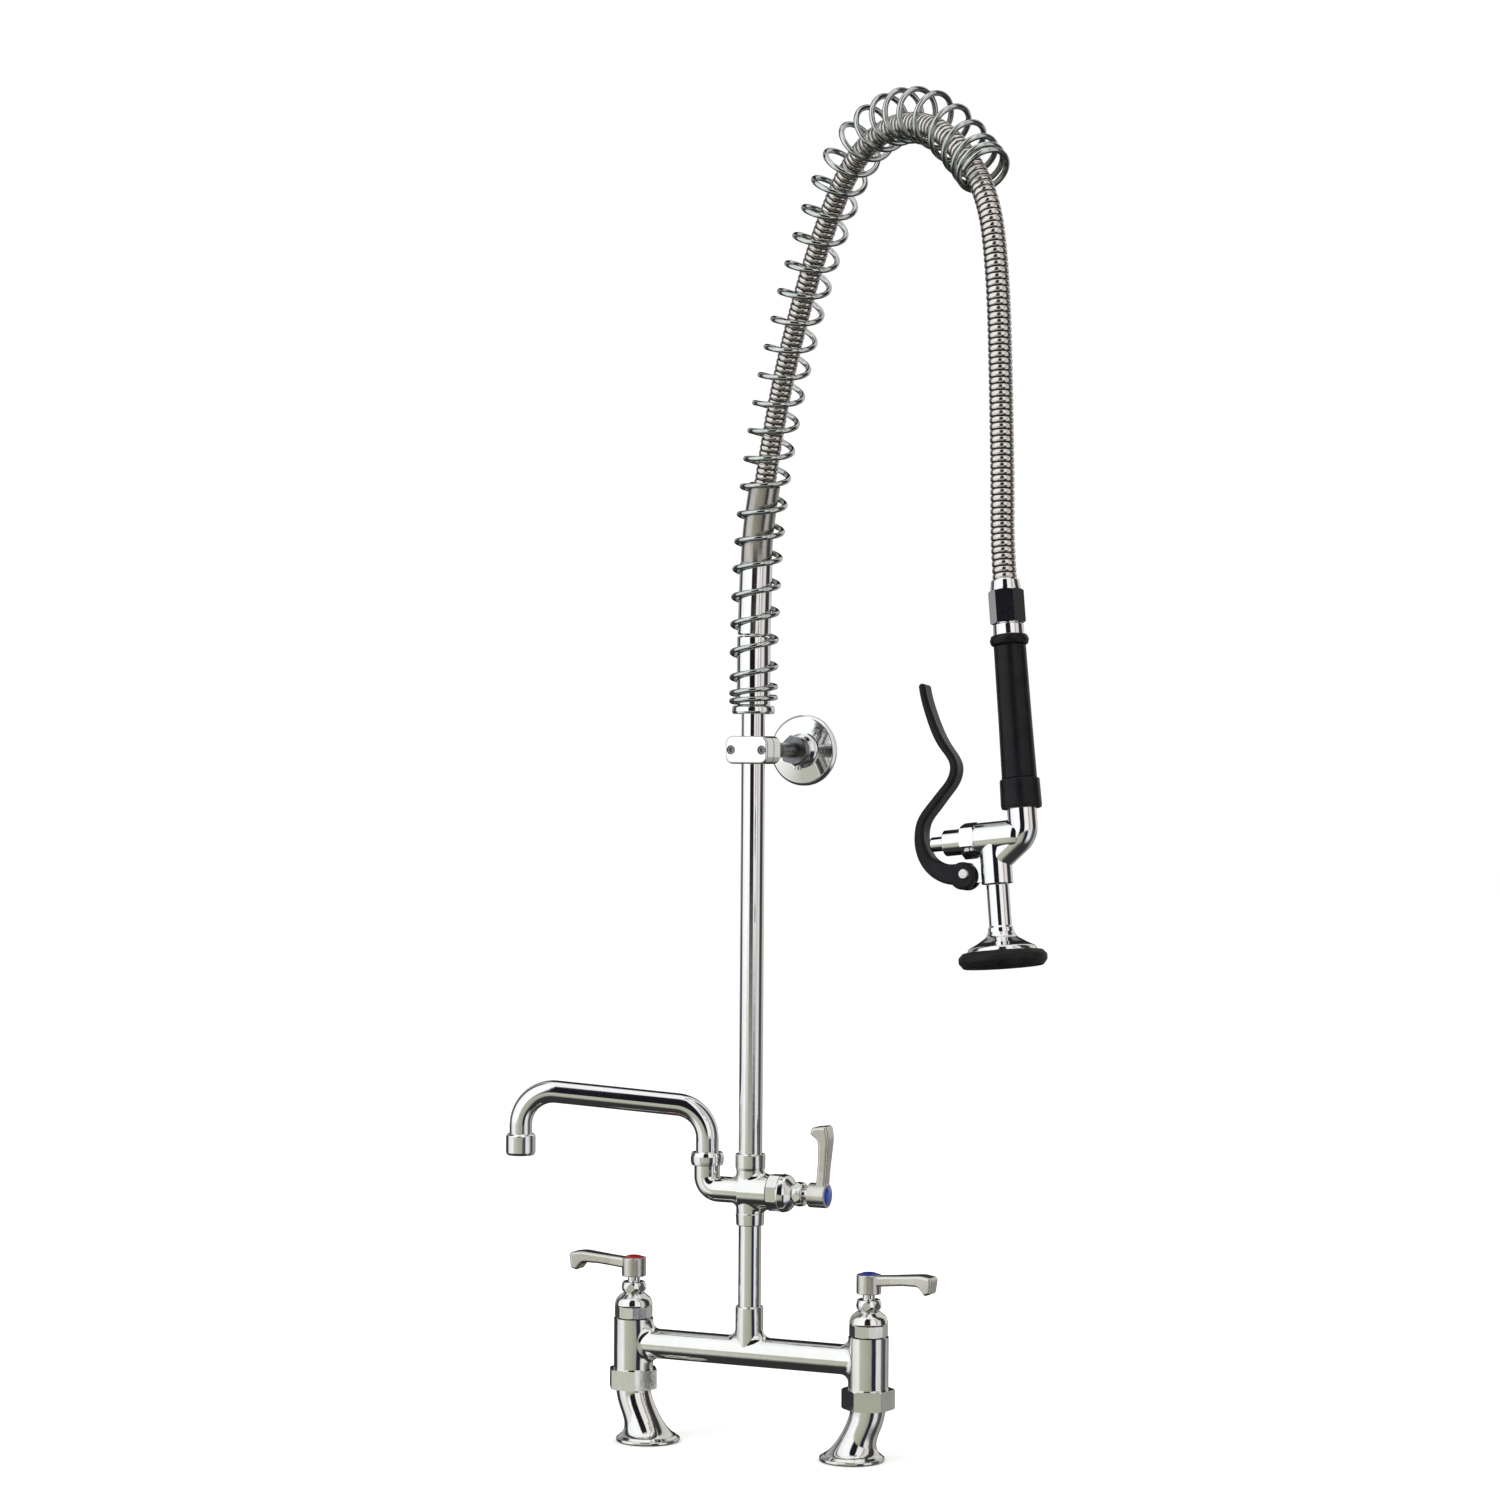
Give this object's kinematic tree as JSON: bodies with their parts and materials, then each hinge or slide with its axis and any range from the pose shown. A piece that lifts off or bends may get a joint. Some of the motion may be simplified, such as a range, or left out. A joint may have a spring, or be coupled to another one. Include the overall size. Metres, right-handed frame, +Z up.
{
  "type": "pre rinse faucet",
  "caption": "Deck mounted bridge faucet with lever valves, add-on swing spout, tall riser with wall bracket, overhead spring and a hose to a trigger spray gun.",
  "frame": {"origin": "on the deck plane, midway between the two inlet feet, under the riser axis", "axes": "+Z up along the riser, +X from the hot valve to the cold valve along the bridge, +Y towards the wall behind"},
  "size_m": [0.5203, 0.363, 1.0415],
  "materials": {
    "polished_chrome": "polished",
    "satin_chrome": "satin cast",
    "plain_brass": "machined",
    "stainless_steel": "machined",
    "hose_steel": "interlocked strip",
    "spring_steel": "drawn wire, plated",
    "crimp_steel": "satin crimped",
    "black_grip": "satin moulded",
    "black_rubber": "moulded",
    "seal_rubber": "moulded",
    "grey_plastic": "moulded",
    "hot_index_red": "gloss",
    "cold_index_blue": "gloss"
  },
  "bodies": {
    "frame": {"hot_leg": "polished_chrome", "cold_leg": "polished_chrome", "leg_washers": "seal_rubber", "coupling_nuts": "polished_chrome", "bridge_body": "polished_chrome", "valve_cartridges": "plain_brass", "valve_bonnets": "polished_chrome", "packing_nuts": "polished_chrome", "supply_pipe": "polished_chrome", "addon_body": "polished_chrome", "spout_nut": "polished_chrome", "riser_pipe": "polished_chrome", "clamp_front": "polished_chrome", "clamp_rear": "polished_chrome", "clamp_screws": "stainless_steel", "wall_arm": "polished_chrome", "wall_lock_nut": "polished_chrome", "wall_flange": "polished_chrome", "wall_set_screw": "stainless_steel", "spring_seat": "polished_chrome", "adaptor_lower": "polished_chrome", "adaptor_upper": "polished_chrome", "upper_ferrule": "crimp_steel"},
    "hot_lever": {"hot_stem": "polished_chrome", "hot_handle": "satin_chrome", "hot_handle_screw": "stainless_steel", "hot_index": "hot_index_red"},
    "cold_lever": {"cold_stem": "polished_chrome", "cold_handle": "satin_chrome", "cold_handle_screw": "stainless_steel", "cold_index": "cold_index_blue"},
    "addon_lever": {"addon_stem": "polished_chrome", "addon_handle": "satin_chrome", "addon_handle_screw": "stainless_steel", "addon_index": "cold_index_blue"},
    "spout": {"spout_tube": "polished_chrome", "spout_seal_rings": "seal_rubber", "spout_outlet": "polished_chrome", "spout_flow_insert": "grey_plastic"},
    "overhead_arch": {"overhead_spring": "spring_steel", "hose": "hose_steel"},
    "hose_end": {"hose_nut": "polished_chrome", "hose_washer": "seal_rubber"},
    "spray_gun": {"grip_core": "polished_chrome", "grip_collar": "black_grip", "grip": "black_grip", "grip_sleeve": "black_grip", "gun_body": "polished_chrome", "valve_cap": "polished_chrome", "valve_spring": "stainless_steel", "nozzle_tube": "polished_chrome", "spray_bell": "polished_chrome", "bumper_ring": "black_rubber", "spray_face": "stainless_steel", "face_screw": "stainless_steel"},
    "trigger": {"spray_lever": "black_grip", "lever_pin": "stainless_steel"},
    "valve_plunger": {"plunger": "polished_chrome", "valve_disc": "seal_rubber"}
  },
  "joints": [
    {"name": "hot_valve_turn", "type": "hinge", "parent": "frame", "child": "hot_lever", "pos_m": [-0.1016, 0, 0.12], "axis": [0, 0, 1], "range_deg": [0, 90]},
    {"name": "cold_valve_turn", "type": "hinge", "parent": "frame", "child": "cold_lever", "pos_m": [0.1016, 0, 0.12], "axis": [0, 0, 1], "range_deg": [-90, 0]},
    {"name": "addon_valve_turn", "type": "hinge", "parent": "frame", "child": "addon_lever", "pos_m": [0.04, 0, 0.2044], "axis": [1, 0, 0], "range_deg": [0, 90]},
    {"name": "spout_swivel", "type": "hinge", "parent": "frame", "child": "spout", "pos_m": [-0.0376, 0, 0.225], "axis": [0, 0, 1], "range_deg": [-53, 133]},
    {"name": "arch_bow", "type": "hinge", "parent": "frame", "child": "overhead_arch", "pos_m": [0.01262, -0.00917, 0.7614], "axis": [0.5878, 0.809, 0], "range_deg": [-4, 10], "stiffness_Nm_per_rad": 45, "springref_deg": -4.81, "deforming": ["overhead_spring", "hose"]},
    {"name": "hose_swing", "type": "hinge", "parent": "overhead_arch", "child": "hose_end", "pos_m": [0.26374, -0.19162, 0.95], "axis": [0.5878, 0.809, 0], "range_deg": [-30, 5], "stiffness_Nm_per_rad": 2, "springref_deg": -6.16, "deforming": ["hose"]},
    {"name": "gun_swivel", "type": "hinge", "parent": "hose_end", "child": "spray_gun", "pos_m": [0.28397, -0.20631, 0.6734], "axis": [-0.1126, 0.0818, 0.9903], "continuous": true},
    {"name": "trigger_squeeze", "type": "hinge", "parent": "spray_gun", "child": "trigger", "pos_m": [0.26389, -0.22317, 0.46691], "axis": [0.0046, 0.9966, -0.0818], "range_deg": [0, 13], "stiffness_Nm_per_rad": 1.2, "springref_deg": -11.46},
    {"name": "plunger_slide", "type": "slide", "parent": "spray_gun", "child": "valve_plunger", "axis": [0.9936, 0.0046, 0.1126], "range_m": [0, 0.006], "deforming": ["valve_spring"]}
  ],
  "couplings": [
    {"joint": "plunger_slide", "follows": "trigger_squeeze", "m_per_rad": 0.02465}
  ]
}
